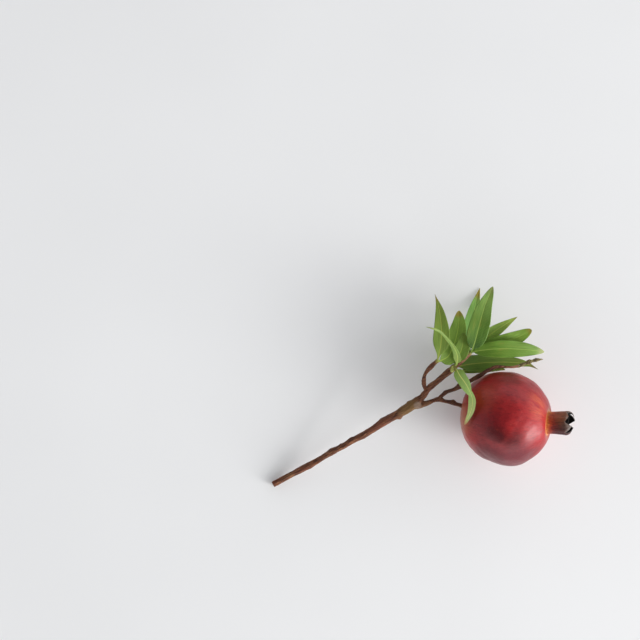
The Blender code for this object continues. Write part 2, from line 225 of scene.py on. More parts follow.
def make_fruit():
    """A ball of rings from the crown's seat to the stalk. Each point moves out to the rind, with shallow
    dents, a dimple round the stalk and a low collar under the crown, and the table presses it flat."""
    rings, sides = 180, 288
    polar, turn = np.meshgrid(np.linspace(0.004, math.pi - 0.004, rings),
                              np.linspace(0, math.tau, sides, endpoint=False), indexing="ij")
    heading = (np.cos(polar)[..., None] * along + (np.sin(polar) * np.cos(turn))[..., None] * left
               + (np.sin(polar) * np.sin(turn))[..., None] * over)
    distance = rind_distance(polar, turn)
    dents = 0.16 * waves(heading * RIND_RADIUS, 26, 3) + 0.05 * waves(heading * RIND_RADIUS, 9, 4)
    distance = distance + dents * np.clip(np.sin(polar) * 2, 0, 1)
    foot = STALK_FOOT / np.linalg.norm(STALK_FOOT)
    from_foot = np.arccos(np.clip(heading @ foot, -1, 1)) * RIND_RADIUS
    distance = distance - 1.1 * np.exp(-((from_foot / 4.5) ** 2))
    forward = np.minimum(distance * np.cos(polar), CROWN_SEAT)
    sideways = distance * np.sin(polar)
    forward = forward - 0.7 * np.exp(-(((sideways - 12.6) / 1.3) ** 2)) * (forward > 0)
    points = (FRUIT_CENTRE + forward[..., None] * along
              + (sideways * np.cos(turn))[..., None] * left + (sideways * np.sin(turn))[..., None] * over)
    points[..., 2] = np.maximum(points[..., 2], 0.0)
    meridian = np.stack([np.cos(turn), np.sin(turn), 0.35 * polar], -1)
    values = {"from_stalk": from_foot, "from_axis": sideways + 100 * (forward < 0), "meridian": meridian}
    return surface("pomegranate_rind", points[:, ::-1], {key: v[:, ::-1] for key, v in values.items()})


def rind_finish():
    """Leathery rind: maroon ground that turns crimson and then brushed red-orange on the side that had
    the sun, a yellow ring at the crown's foot, russet at the stalk end, fine pores, and a satin skin."""
    rind = Finish("rind_leathery_red")
    seat = rind.place()
    where = rind.wobbled(seat, 34.0, 17.0)
    clouds = rind.noise(seat, 46.0, 4.0, 0.6, 0.3)
    streaks = rind.noise(rind.attribute("meridian", 1), 6.5, 5.0, 0.62, 0.4)
    fine = rind.noise(rind.attribute("meridian", 1), 22.0, 5.0, 0.7, 0.2)
    grain = rind.noise(seat, 1300.0, 3.0, 0.6)

    colour = rind.mix(rind.fade(clouds, 0.35, 0.65), srgb(138, 26, 32), srgb(164, 38, 40))
    # Each patch: its middle, how far it is full and where it ends, its share, and its colour.
    for point, near, far, share, tone in (
            ((-27, 22, 72), 4, 26, 0.75, (158, 50, 26)),          # brick shoulder over the stalk end
            ((-42, 2, 54), 4, 24, 0.75, (172, 104, 66)),          # tan end by the stalk
            ((30, 1, 76), 12, 29, 0.90, (164, 36, 40)),           # crimson towards the crown
            ((0, -44, 62), 18, 40, 0.90, (82, 25, 35)),           # purple-maroon where it grew in shade
            ((10, -35, 68), 9, 26, 0.90, (96, 28, 38)),
            ((-18, -34, 60), 10, 28, 0.80, (92, 27, 35)),
            # painted shade: a dark band across the top, where the rind faces the dark ceiling
            ((-15, -11, 85), 3, 16, 0.85, (54, 6, 14)),           # dark band across the top
            ((0, -17, 84), 2, 15, 0.80, (66, 8, 16)),
            ((-27, -5, 76), 4, 23, 0.55, (84, 14, 22)),
            # painted shade on this edge, under the long shoot and the leaves over it
            ((0, 40, 64), 3, 17, 0.60, (86, 18, 16))):            # dark edge beside the long shoot
        colour = rind.mix(rind.closeness(where, point, near, far, share), colour, srgb(*tone))
    sunned = rind.closeness(where, (27, 14, 76), 2, 20)
    brushed = rind.sums("MULTIPLY", sunned, rind.fade(streaks, 0.36, 0.64))
    colour = rind.mix(rind.sums("MULTIPLY", brushed, 0.6), colour, srgb(200, 96, 60))
    foot = rind.fade(rind.sums("MULTIPLY_ADD", streaks, 9.0, rind.attribute("from_axis")), 23.0, 15.5)
    colour = rind.mix(rind.sums("MULTIPLY", foot, 0.5), colour, srgb(204, 116, 72))
    ring = rind.fade(rind.attribute("from_axis"), 13.4, 12.4)
    colour = rind.mix(rind.sums("MULTIPLY", ring, 0.7), colour, srgb(210, 142, 78))
    colour = rind.mix(rind.fade(fine, 0.52, 0.32, 0.0, 0.42), colour, srgb(60, 10, 18))
    colour = rind.mix(rind.fade(fine, 0.55, 0.78, 0.0, 0.28), colour, srgb(186, 70, 50))
    stalk = rind.fade(rind.attribute("from_stalk"), 8.0, 3.0)
    colour = rind.mix(rind.sums("MULTIPLY", stalk, 0.8), colour, srgb(98, 66, 42))
    cells = rind.node("TexVoronoi", 0, {"Vector": seat, "Scale": 330.0, "Randomness": 1.0})
    specks = rind.sums("MULTIPLY", rind.fade(cells, 0.20, 0.08), rind.fade(clouds, 0.45, 0.65))
    colour = rind.mix(rind.sums("MULTIPLY", specks, 0.30), colour, srgb(190, 110, 84))
    colour = rind.mix(rind.fade(grain, 0.3, 0.7, 0.0, 0.14), colour, srgb(176, 70, 66))

    roughness = rind.sums("MULTIPLY_ADD", grain, 0.10, 0.26)
    pores = rind.bump(grain, 0.20, 0.0005)
    soft = rind.bump(rind.noise(seat, 190.0, 3.0), 0.20, 0.0012, pores)
    return rind.surface(colour, roughness, soft, specular_ior_level=0.27)


finished(make_fruit(), "fruit", rind_finish())


# ---------------------------------------------------------------- crown
# The dried calyx that stays on the fruit's far end: a leathery tube, fleshy and red at its foot, that dries
# brown and then grey towards six pointed lobes, which curl in over a mouth painted near-black as shade.

CROWN_OUTSIDE = ((10.9, -0.7), (10.7, 3.0), (10.8, 8.0), (11.1, 13.0), (11.4, 16.4))
CROWN_INSIDE = ((9.6, 16.8), (9.3, 13.0), (8.8, 8.0), (7.8, 5.2), (3.0, 4.6))
CROWN_BEND = 0.07                                     # sideways drift of the tube per mm of its height
LOBE_LENGTH = (3.4, 8.6, 8.8, 8.2, 9.4, 9.6)          # from the rim to each tip, round the crown
LOBE_CURL = (0.6, 1.15, 1.35, 1.2, 1.2, 1.3)          # how far each one turns inwards at its tip, radians


def make_crown():
    """A turned cup. Round the axis its rim rises in pointed lobes, and each lobe bends inwards along an
    arc. A point's second number runs up the outside, over the lip and down the inside to the floor."""
    sides = 480
    turn = np.linspace(0, math.tau, sides, endpoint=False)
    lobe = turn / math.tau * 6 - 0.35
    which = np.floor(lobe).astype(int) % 6
    off_middle = np.abs(lobe - np.floor(lobe) - 0.5) * 2
    longest = np.array(LOBE_LENGTH)[which]
    ragged = 0.30 * np.sin(turn * 23 + 1) + 0.22 * np.sin(turn * 41)
    notch = 0.7
    length = (notch + (longest - notch) * np.clip(1 - off_middle ** 1.3, 0, 1) ** 1.1
              + ragged * (1 - off_middle))
    curl = np.array(LOBE_CURL)[which] / longest

    def wall(profile, count):
        """count points, evenly numbered along a profile."""
        profile = np.array(profile)
        share = np.linspace(0, 1, count)
        steps = np.linspace(0, 1, len(profile))
        return np.stack([np.interp(share, steps, profile[:, k]) for k in (0, 1)], -1)

    wall_rows, floor_rows = 44, 36
    outside, inside = wall(CROWN_OUTSIDE, wall_rows), wall(CROWN_INSIDE, floor_rows)
    climb = np.linspace(0, 1, wall_rows)[:, None]
    bend = climb * length * curl
    lobe_out = CROWN_OUTSIDE[-1][0] - (1 - np.cos(bend)) / curl
    lift = CROWN_OUTSIDE[-1][1] + np.sin(bend) / curl
    thick = 1.8 - 1.35 * np.sqrt(climb) * np.clip(length / 5, 0, 1)
    flare = 0.35 * np.sin(climb * 3.2) * (1 - off_middle)
    rim_out = np.stack([lobe_out + flare, lift], -1)
    rim_in = np.stack([lobe_out + flare - thick * np.cos(bend), lift - thick * np.sin(bend)], -1)[::-1]
    outer = np.broadcast_to(outside[:, None], (len(outside), sides, 2))
    inner = np.broadcast_to(inside[:, None], (len(inside), sides, 2))
    profile = np.concatenate([outer, rim_out[1:], rim_in, inner])
    radius, reach = profile[..., 0], profile[..., 1]
    puckers = (0.20 * np.sin(6 * turn + 0.6) + 0.14 * np.sin(11 * turn + 2.0)
               + 0.07 * np.sin(37 * turn)) * np.clip(reach / 10, 0, 1)
    radius = radius + puckers * np.clip(radius / 11, 0, 1)
    centre = FRUIT_CENTRE + along * (CROWN_SEAT + 0.3)
    points = (centre + reach[..., None] * (along + CROWN_BEND * left)
              + (radius * np.cos(turn))[..., None] * left + (radius * np.sin(turn))[..., None] * over)
    outside_rows = len(outside) + len(rim_out) - 1
    hidden = np.broadcast_to((np.arange(len(profile)) >= outside_rows)[:, None], radius.shape)
    rows = np.arange(len(profile))
    up_lobe = np.interp(rows, (len(outside), outside_rows), (0, 1))
    on_lobe = np.broadcast_to(up_lobe[:, None], radius.shape)
    around = np.stack([np.cos(turn) + 0 * reach, np.sin(turn) + 0 * reach, 0.03 * reach], -1)
    return surface("dried_crown", points, {"up_wall": reach, "inside": hidden.astype(float),
                                           "on_lobe": on_lobe, "around": around})


def crown_finish():
    """Dry calyx: orange at the foot, red and then dark maroon-brown up the tube, grey papery lobes with
    near-black edges, a near-black inside that is painted shade, and lengthwise wrinkles."""
    dry = Finish("crown_dry_calyx")
    seat = dry.place()
    wrinkles = dry.noise(dry.attribute("around", 1), 7.0, 5.0, 0.65)
    blotches = dry.noise(seat, 190.0, 4.0, 0.6, 0.3)
    up = dry.sums("MULTIPLY_ADD", blotches, 10.0, dry.sums("ADD", dry.attribute("up_wall"), -5.0))
    skin = dry.ramp(dry.fade(up, -2.0, 24.0), [
        (0.0, srgb(210, 128, 66)), (0.09, srgb(178, 70, 40)), (0.26, srgb(140, 40, 30)),
        (0.44, srgb(114, 44, 32)), (0.62, srgb(104, 58, 38)), (0.80, srgb(88, 66, 52)),
        (1.0, srgb(92, 82, 76))])
    # Lighter brown on the tube's left, and dark red on its right.
    skin = dry.mix(dry.closeness(seat, (49, 4, 68), 3, 14, 0.55), skin, srgb(160, 92, 58))
    skin = dry.mix(dry.closeness(seat, (50, -11, 64), 5, 16, 0.9), skin, srgb(64, 12, 16))
    streaked = dry.mix(dry.fade(wrinkles, 0.52, 0.34, 0.0, 0.6), skin, srgb(44, 18, 18))
    on_lobe = dry.attribute("on_lobe")
    dusty = dry.sums("MULTIPLY", dry.fade(on_lobe, 0.05, 0.5), dry.fade(blotches, 0.35, 0.6))
    papery = dry.mix(dry.sums("MULTIPLY", dusty, 0.6), streaked, srgb(146, 134, 126))
    tipped = dry.mix(dry.fade(on_lobe, 0.72, 1.0, 0.0, 0.8), papery, srgb(34, 27, 24))
    # painted shade: the whole inside of the cup is near-black
    mouth = dry.mix(dry.attribute("inside"), tipped, srgb(24, 18, 15))
    relief = dry.bump(wrinkles, 0.6, 0.0012)
    fine = dry.bump(blotches, 0.3, 0.0005, relief)
    roughness = dry.sums("MULTIPLY_ADD", blotches, 0.2, 0.36)
    return dry.surface(mouth, roughness, fine, specular_ior_level=0.25)


finished(make_crown(), "calyx_crown", crown_finish())


# ---------------------------------------------------------------- twig
# The woody twig is one grown piece: a main stem cut square at its thick end, with a shoot to the left, the
# fruit's stalk and a long shoot to the right. Its thin bark is brown with reddish and olive patches.

# Each length is a row of places along its middle, each with its radius.
MAIN_STEM = (
    ((-227.2, -68.5, 3.25), 3.1), ((-214.5, -61.4, 5.5), 3.1), ((-200.5, -54.0, 8.5), 3.1),
    ((-181.0, -42.4, 13.5), 3.1), ((-169.7, -35.5, 17.0), 3.05), ((-161.0, -30.6, 19.5), 3.05),
    ((-151.0, -24.7, 22.5), 3.15), ((-131.6, -13.2, 28.0), 3.45), ((-112.3, -0.4, 34.0), 3.85),
    ((-102.4, 5.3, 37.0), 4.6), ((-94.2, 10.4, 39.3), 4.8), ((-86.2, 16.7, 41.5), 4.0),
    ((-80.9, 21.6, 43.2), 3.2), ((-76.6, 27.3, 44.6), 2.9), ((-70.4, 33.6, 46.0), 2.8),
    ((-62.8, 40.0, 47.5), 2.8), ((-55.6, 46.2, 49.0), 2.8), ((-51.4, 49.8, 49.8), 2.8),
    ((-48.4, 52.4, 50.2), 2.25), ((-44.5, 55.3, 50.8), 1.95), ((-35.5, 64.2, 52.3), 1.6))
LEFT_SHOOT = (
    ((-76.8, 26.3, 44.4), 2.2), ((-79.7, 31.3, 45.6), 2.0), ((-80.4, 37.6, 47.6), 1.9),
    ((-78.5, 44.3, 50.2), 1.85), ((-74.2, 50.2, 53.0), 1.85), ((-70.3, 54.1, 54.6), 1.95),
    ((-67.5, 56.5, 55.5), 2.1))
FRUIT_STALK = (
    ((-90.8, 11.0, 40.0), 2.6), ((-82.4, 12.9, 41.2), 2.5), ((-75.7, 15.3, 42.0), 2.3),
    ((-69.9, 17.5, 42.6), 2.15), ((-64.4, 18.3, 43.1), 2.35), ((-59.4, 16.8, 43.5), 2.1),
    ((-53.8, 15.3, 43.9), 2.1), ((-48.4, 14.0, 44.1), 2.05), ((-42.6, 12.3, 44.1), 2.3))
RIGHT_SHOOT = (
    ((-65.0, 18.6, 43.1), 2.1), ((-62.0, 22.8, 44.0), 2.0), ((-57.6, 25.6, 45.6), 1.95),
    ((-51.0, 28.4, 47.6), 2.1), ((-44.5, 31.8, 50.0), 2.6), ((-39.3, 35.2, 52.4), 1.95),
    ((-32.4, 39.1, 54.6), 1.85), ((-25.9, 42.8, 56.2), 1.75), ((-19.3, 47.0, 57.3), 1.65),
    ((-13.6, 49.7, 57.8), 1.55), ((-6.8, 50.5, 57.8), 1.45), ((0.9, 50.2, 57.5), 1.45),
    ((10.6, 51.2, 57.2), 1.4))
KNOBS = (                          # bud scars and knobs: place, height, width
    ((-170.3, -32.4, 18.0), 0.8, 3.4), ((-150.6, -21.4, 23.4), 0.8, 3.2), ((-102.9, 0.2, 36.0), 1.9, 2.4),
    ((-85.0, 12.6, 41.0), 1.6, 3.4), ((-51.2, 17.6, 44.9), 1.9, 2.0), ((-61.8, 28.0, 45.2), 2.6, 1.9),
    ((-46.6, 33.6, 51.0), 1.5, 2.6), ((-160.6, -26.8, 20.2), 1.1, 1.1), ((-95.2, 16.0, 41.0), 1.2, 2.4),
    ((-120.5, -1.4, 31.0), 0.7, 3.0), ((-137.0, -20.5, 27.0), 0.5, 3.0), ((-189.0, -51.5, 11.5), 0.5, 2.6),
    ((-52.6, 46.6, 50.6), 1.0, 2.4), ((-67.6, 56.6, 56.0), 0.8, 2.2), ((-36.0, 63.6, 52.6), 0.9, 1.8))


def through(points, at):
    """A smooth curve through evenly numbered points: cubic pieces whose slope at each point is half the
    step between its neighbours. at runs from 0 at the first point to 1 at the last."""
    points = np.asarray(points, float)
    spans = len(points) - 1
    spot = np.clip(np.asarray(at, float), 0.0, 1.0) * spans
    first = np.minimum(spot.astype(int), spans - 1)
    t = (spot - first)[:, None]
    slope = np.gradient(points, axis=0)
    return ((2 * t**3 - 3 * t**2 + 1) * points[first] + (t**3 - 2 * t**2 + t) * slope[first]
            + (3 * t**2 - 2 * t**3) * points[first + 1] + (t**3 - t**2) * slope[first + 1])


def frames(centre):
    """Directions along a path: level to its side, and up, square to the path and to the side."""
    ahead = np.gradient(centre, axis=0)
    ahead /= np.linalg.norm(ahead, axis=1)[:, None]
    side = np.cross((0.0, 0.0, 1.0), ahead)
    side /= np.linalg.norm(side, axis=1)[:, None]
    return side, np.cross(ahead, side)


def twig_rings(route, seed, step=0.8, sides=40):
    """Rings of a twig along its route. The radius blends from point to point, with lengthwise bark
    ridges, faint cross rings, and knobs that swell the wood near each knob's place."""
    stations = np.array([(*place, radius) for place, radius in route])
    length = np.linalg.norm(np.diff(stations[:, :3], axis=0), axis=1).sum()
    rings = through(stations, np.linspace(0, 1, round(length / step)))
    centre, radius = rings[:, :3], rings[:, 3:]
    side, up = frames(centre)
    turn = np.linspace(0, math.tau, sides, endpoint=False)
    outward = (np.cos(turn)[None, :, None] * side[:, None] + np.sin(turn)[None, :, None] * up[:, None])
    run = (np.arange(len(rings)) * step)[:, None] + 0 * turn
    stretched = np.stack([run * 0.22, radius * np.cos(turn), radius * np.sin(turn)], -1)
    bark = 0.17 * waves(stretched, 2.6, seed) + 0.08 * waves(stretched * (3.0, 1, 1), 1.3, seed + 1)
    round_run = np.stack([run, 2 * np.cos(turn) + 0 * run, 2 * np.sin(turn) + 0 * run], -1)
    lumps = 0.20 * waves(round_run, 17, seed + 2)
    wall = centre[:, None] + outward * (radius + bark + lumps)[..., None]
    for place, height, width in KNOBS:
        near = np.exp(-(np.linalg.norm(wall - np.array(place), axis=-1) / width) ** 2)
        wall = wall + outward * (height * near)[..., None]
    return wall


def make_twig():
    """The four grown lengths as closed rings, merged into one skin by a fine voxel net and smoothed, so
    that the forks flow together. Each point then learns how far past the cut it lies along the stem's
    first heading, and how far it is from the middle of the cut."""
    parts = [surface(f"twig_length_{seed}", twig_rings(route, seed))
             for seed, route in ((10, MAIN_STEM), (20, LEFT_SHOOT), (30, FRUIT_STALK), (40, RIGHT_SHOOT))]
    twig = parts[0]
    with bpy.context.temp_override(active_object=twig, selected_editable_objects=parts):
        bpy.ops.object.join()
    net = twig.modifiers.new("one skin", "REMESH")
    net.mode = "VOXEL"
    net.voxel_size = 0.42 * MM
    ease = twig.modifiers.new("ease", "SMOOTH")
    ease.factor = 0.5
    ease.iterations = 3
    whole = bpy.data.meshes.new_from_object(
        twig.evaluated_get(bpy.context.evaluated_depsgraph_get()))
    twig.modifiers.clear()
    twig.data = whole
    twig.name = "woody_twig"
    whole.polygons.foreach_set("use_smooth", [True] * len(whole.polygons))
    spots = np.empty(len(whole.vertices) * 3)
    whole.vertices.foreach_get("co", spots)
    spots = spots.reshape(-1, 3) / MM
    spots[:, 2] = np.maximum(spots[:, 2], 0.0)
    whole.vertices.foreach_set("co", (spots * MM).ravel())
    whole.update()
    cut_centre = np.array(MAIN_STEM[0][0])
    cut_heading = np.array(MAIN_STEM[1][0]) - cut_centre
    cut_heading /= np.linalg.norm(cut_heading)
    for key, value in (("from_cut", (spots - cut_centre) @ cut_heading),
                       ("from_cut_centre", np.linalg.norm(spots - cut_centre, axis=1))):
        whole.attributes.new(key, "FLOAT", "POINT").data.foreach_set("value", value.astype(np.float32))
    return twig


def bark_finish():
    """Thin bark: dark brown with lengthwise reddish and tan streaks, olive at the swollen fork, grey
    scars, small pale pores, and bare wood on the cut."""
    bark = Finish("bark_brown")
    stem_turn = (0.0, math.radians(-10.5), math.radians(30.5))
    streak_size = (0.030, 0.004, 0.004)                 # long along the stem and narrow across it, metres
    grain_place = bark.place((0, 0, 0), stem_turn, streak_size)
    seat = bark.place()
    streaks = bark.noise(grain_place, 3.2, 6.0, 0.65, 0.5)
    patches = bark.noise(seat, 42.0, 4.0, 0.6, 0.6)
    fine = bark.noise(seat, 520.0, 4.0, 0.6)
    brown = bark.ramp(streaks, [
        (0.27, srgb(34, 17, 11)), (0.42, srgb(72, 40, 26)), (0.54, srgb(112, 68, 44)),
        (0.72, srgb(168, 120, 84))])
    reddish = bark.mix(bark.fade(patches, 0.48, 0.68, 0.0, 0.55), brown, srgb(108, 56, 38))
    tan = bark.mix(bark.fade(patches, 0.44, 0.28, 0.0, 0.45), reddish, srgb(134, 98, 62))
    olive = bark.mix(bark.closeness(seat, (-94, 10, 40), 5, 16, 0.7), tan, srgb(116, 90, 48))
    scar = bark.closeness(seat, (-86, 12.5, 45), 2.4, 5.0, 0.7)
    scarred = bark.mix(scar, olive, srgb(142, 122, 106))
    # light pinkish streaks near the top node: partly the young bark's own colour, partly a painted highlight
    young = bark.closeness(seat, (-40, 60, 52), 5, 13)
    pinkish = bark.sums("MULTIPLY", young, bark.fade(streaks, 0.38, 0.6, 0.25, 0.9))
    skin = bark.mix(pinkish, scarred, srgb(176, 128, 100))
    # Patches along the shoots: middle, how far each is full and where it ends, its share, and its colour.
    for spot, near, far, share, tone in (
            ((-57, 25, 46), 4, 13, 0.55, (48, 22, 15)),           # dark bark along the long shoot
            ((-40, 34, 52), 4, 13, 0.55, (48, 22, 15)),
            ((-24, 44, 56), 4, 13, 0.55, (48, 22, 15)),
            # painted highlight on the long shoot's pale end
            ((9, 50, 57), 3, 12, 0.70, (168, 118, 92)),           # its pale young end
            ((-52, 49, 51), 1.75, 5.0, 0.85, (148, 150, 78)),     # green at the three leafy nodes
            ((-67.2, 56.8, 56), 1.47, 4.2, 0.85, (148, 150, 78)),
            ((-35.8, 64, 53), 1.26, 3.6, 0.85, (148, 150, 78))):
        skin = bark.mix(bark.closeness(seat, spot, near, far, share), skin, srgb(*tone))
    pores = bark.node("TexVoronoi", 0, {"Vector": grain_place, "Scale": 5.0})
    dotted = bark.mix(bark.fade(pores, 0.16, 0.07, 0.0, 0.5), skin, srgb(172, 138, 108))
    on_cut = bark.fade(bark.attribute("from_cut"), 0.35, 0.05)
    rings = bark.sums("SINE", bark.sums("MULTIPLY", bark.attribute("from_cut_centre"), 9.0))
    wood = bark.mix(bark.fade(rings, -1.0, 1.0), srgb(150, 116, 78), srgb(112, 82, 54))
    cut = bark.mix(on_cut, dotted, wood)
    cracks = bark.bump(streaks, 0.75, 0.0012)
    grit = bark.bump(fine, 0.35, 0.0004, cracks)
    roughness = bark.sums("MULTIPLY_ADD", fine, 0.25, 0.48)
    return bark.surface(cut, roughness, grit, specular_ior_level=0.25)


finished(make_twig(), "woody_stem", bark_finish())


# ---------------------------------------------------------------- buds
# The long shoot ends in a knobbly bud of short dry scales with a small spur, and a little pale green bud
# sits where the leaves of the middle node start.

BUD_ROUTES = {
    "shoot_tip_bud": (
        ((8.6, 50.6, 57.2), 1.3), ((13.4, 52.5, 57.3), 1.9), ((16.7, 53.9, 57.4), 1.35),
        ((20.0, 55.3, 57.5), 2.3), ((23.5, 56.2, 57.4), 1.4), ((26.7, 57.0, 57.3), 1.9),
        ((29.7, 57.5, 57.2), 1.15), ((33.3, 57.6, 57.1), 0.4)),
    "node_bud": (
        ((-53.6, 46.0, 51.6), 1.2), ((-53.6, 46.7, 54.0), 1.6), ((-53.4, 48.6, 55.1), 1.2),
        ((-53.7, 50.9, 55.8), 0.4)),
}


def make_bud(name, scales, seed):
    """A short twig whose skin steps in a spiral of overlapping scales: the radius grows along each scale
    and drops back at its lip, and the lips climb round the bud."""
    stations = np.array([(*place, radius) for place, radius in BUD_ROUTES[name]])
    rings, sides = 110, 48
    run = np.linspace(0, 1, rings)
    path = through(stations, run)
    centre, radius = path[:, :3], path[:, 3:]
    side, up = frames(centre)
    turn = np.linspace(0, math.tau, sides, endpoint=False)
    outward = np.cos(turn)[None, :, None] * side[:, None] + np.sin(turn)[None, :, None] * up[:, None]
    spiral = run[:, None] * scales + 0.5 * np.sin(turn + seed) + 0.25 * np.sin(2 * turn + 2 * seed)
    lip = spiral - np.floor(spiral)
    crisp = lip ** 2 * (1 - lip ** 8)
    rough = 0.14 * waves(centre[:, None] + outward * radius[..., None], 1.6, seed)
    swell = radius * (0.86 + 0.34 * crisp) + rough * np.clip(radius, 0, 1)
    return surface(name + "_scales", centre[:, None] + outward * swell[..., None], {"lip": crisp})


def bud_finish(name, old, young, dark):
    """Dry scales: olive and tan, with painted shade, a darker brown, in the folds under each scale's lip."""
    scale = Finish(name)
    patches = scale.noise(scale.place(), 330.0, 4.0, 0.6)
    body = scale.mix(scale.fade(patches, 0.38, 0.62), old, young)
    # painted shade in the folds under each scale's lip
    folds = scale.mix(scale.fade(scale.attribute("lip"), 0.30, 0.0, 0.0, 0.7), body, dark)
    relief = scale.bump(patches, 0.5, 0.0004)
    return scale.surface(folds, scale.sums("MULTIPLY_ADD", patches, 0.2, 0.5), relief,
                         specular_ior_level=0.4)


finished(make_bud("shoot_tip_bud", 9, 5), "shoot_tip_bud",
         bud_finish("bud_dry_scales", srgb(98, 82, 42), srgb(158, 146, 92), srgb(44, 32, 18)))
finished(make_bud("node_bud", 4, 8), "node_bud",
         bud_finish("bud_young_scales", srgb(184, 190, 96), srgb(210, 212, 132), srgb(134, 128, 60)))


# ---------------------------------------------------------------- leaves
# Narrow leaves with a paler midrib, faint side veins and thin wavy edges. They grow from three nodes on the
# twig, each on a short stalk. Some tips have dried brown, and two leaves twist to show a lighter face.

MIDDLE_NODE = (-51.4, 49.8, 49.8)
TOP_NODE = (-35.6, 64.0, 52.3)
LEFT_NODE = (-67.6, 56.4, 55.5)
PALE = ((146, 168, 84), (146, 178, 88), (158, 186, 104))

# Each leaf: the node it grows from, its midrib, half its greatest width, where that falls, how full its
# outline is, the roll of the blade at even steps, its colours at the foot, middle and far end, the colour
# of its tip, and where along the leaf the tip colour sets in.
LEAVES = {
    "leaf_left_outer": (LEFT_NODE, ((-67.2, 59.2, 56.6), (-65.0, 70.8, 60.0), (-64.4, 87.0, 62.0),
                        (-66.4, 105.8, 60.0), (-70.3, 120.6, 55.0)), 7.5, 0.36, 1.5, (-6, -6, -4),
                        ((120, 144, 62), (114, 140, 58), (122, 140, 58)), (142, 128, 60), 0.88),
    "leaf_left_inner": (LEFT_NODE, ((-64.5, 56.2, 54.0), (-56.4, 61.3, 51.0), (-49.9, 75.3, 46.6),
                        (-46.1, 90.8, 43.0), (-45.5, 104.5, 40.0)), 9.2, 0.36, 0.6, (8, 0, 0),
                        ((114, 142, 58), (124, 156, 62), (132, 164, 68)), (160, 140, 60), 0.90),
    "leaf_back_low": (TOP_NODE, ((-36.1, 67.9, 49.0), (-33.5, 77.8, 30.0), (-29.4, 94.3, 11.0),
                      (-25.4, 111.3, 3.6), (-20.8, 127.5, 0.45)), 8.2, 0.3, 1.05, (0, 0, 0),
                      ((98, 136, 60), (116, 160, 76), (122, 162, 78)), (146, 124, 46), 0.86),
    # leaf_front_tall's dark foot green is painted shade
    "leaf_front_tall": (TOP_NODE, ((-34.0, 67.9, 56.2), (-31.6, 76.8, 60.2), (-27.6, 92.8, 62.0),
                        (-22.6, 108.8, 59.0), (-14.2, 127.6, 53.0)), 9.5, 0.4, 0.68, (0, 0, 0),
                        ((62, 94, 36), (90, 124, 46), (114, 144, 66)), (124, 134, 76), 0.93),
    "leaf_twisted": (MIDDLE_NODE, ((-49.0, 54.0, 55.0), (-48.7, 59.3, 60.0), (-52.0, 67.8, 66.0),
                     (-59.2, 77.5, 69.5), (-68.0, 85.3, 70.5), (-79.8, 88.9, 68.5)), 3.5, 0.22, 1.0,
                     (-10, -35, -62, -60, -20), PALE, (140, 150, 84), 0.9),
    "leaf_over_fruit": (MIDDLE_NODE, ((-48.9, 47.3, 53.4), (-46.7, 42.4, 60.0), (-41.8, 34.6, 68.5),
                        (-38.0, 26.4, 75.0), (-36.4, 18.0, 78.0), (-38.2, 7.8, 76.0),
                        (-43.0, -4.2, 68.0)), 5.2, 0.22, 0.5, (8, 10, 30, 72, 42, 38, 35),
                        ((142, 174, 80), (166, 202, 110), (186, 198, 126)), (182, 138, 96), 0.94),
    "leaf_right_upper": (TOP_NODE, ((-31.9, 67.7, 51.0), (-23.1, 76.3, 49.5), (-12.9, 83.9, 49.0),
                         (-1.9, 90.9, 48.0), (10.3, 98.5, 46.0)), 5.6, 0.4, 0.95, (0, 0, 0),
                         ((112, 144, 56), (130, 160, 66), (128, 152, 62)), (124, 122, 54), 0.93),
    "leaf_right_blunt": (TOP_NODE, ((-31.9, 66.5, 53.2), (-17.5, 71.7, 54.4), (-3.1, 75.1, 54.4),
                         (9.7, 78.9, 53.2), (23.5, 85.8, 50.5)), 6.6, 0.62, 0.5, (0, 0, 0),
                         ((116, 152, 58), (120, 156, 58), (106, 136, 44)), (128, 114, 40), 0.92),
    "leaf_right_long": (TOP_NODE, ((-32.5, 65.1, 54.4), (-23.8, 66.5, 57.0), (-11.4, 67.7, 59.5),
                        (3.2, 67.7, 58.5), (19.9, 66.7, 55.5), (35.7, 64.5, 50.0)), 8.0, 0.52, 0.68,
                        (0, 0, 0), ((98, 132, 44), (98, 134, 44), (112, 144, 60)), (160, 168, 112), 0.90),
    "leaf_right_low": (MIDDLE_NODE, ((-47.1, 50.7, 46.4), (-35.5, 52.7, 45.0), (-20.9, 54.0, 44.2),
                       (-4.9, 54.6, 43.4), (11.6, 53.9, 42.6), (22.0, 52.0, 42.0), (31.1, 47.5, 41.0)),
                       7.8, 0.2, 1.35, (0, 0, 0), ((88, 120, 46), (98, 126, 48), (110, 126, 50)),
                       (112, 100, 52), 0.84),
    "leaf_under_shoot": (MIDDLE_NODE, ((-46.7, 45.6, 45.4), (-34.9, 46.4, 42.6), (-20.9, 47.6, 40.2),
                         (-7.9, 48.3, 38.8), (-0.3, 46.9, 38.0)), 2.9, 0.5, 0.8, (0, 0, 0),
                         ((112, 136, 58), (126, 152, 70), (132, 158, 74)), (126, 142, 66), 0.95),
    # leaf_inner_upright's greens, a little darker than its neighbours', are painted shade from the leaves
    # over it
    "leaf_inner_upright": (MIDDLE_NODE, ((-49.0, 56.6, 53.0), (-46.4, 62.3, 54.4), (-43.4, 71.5, 54.6),
                           (-42.4, 83.4, 53.0)), 7.0, 0.45, 0.7, (0, 0, 0),
                           ((102, 130, 52), (106, 134, 54), (112, 138, 56)), (114, 136, 56), 0.9),
}


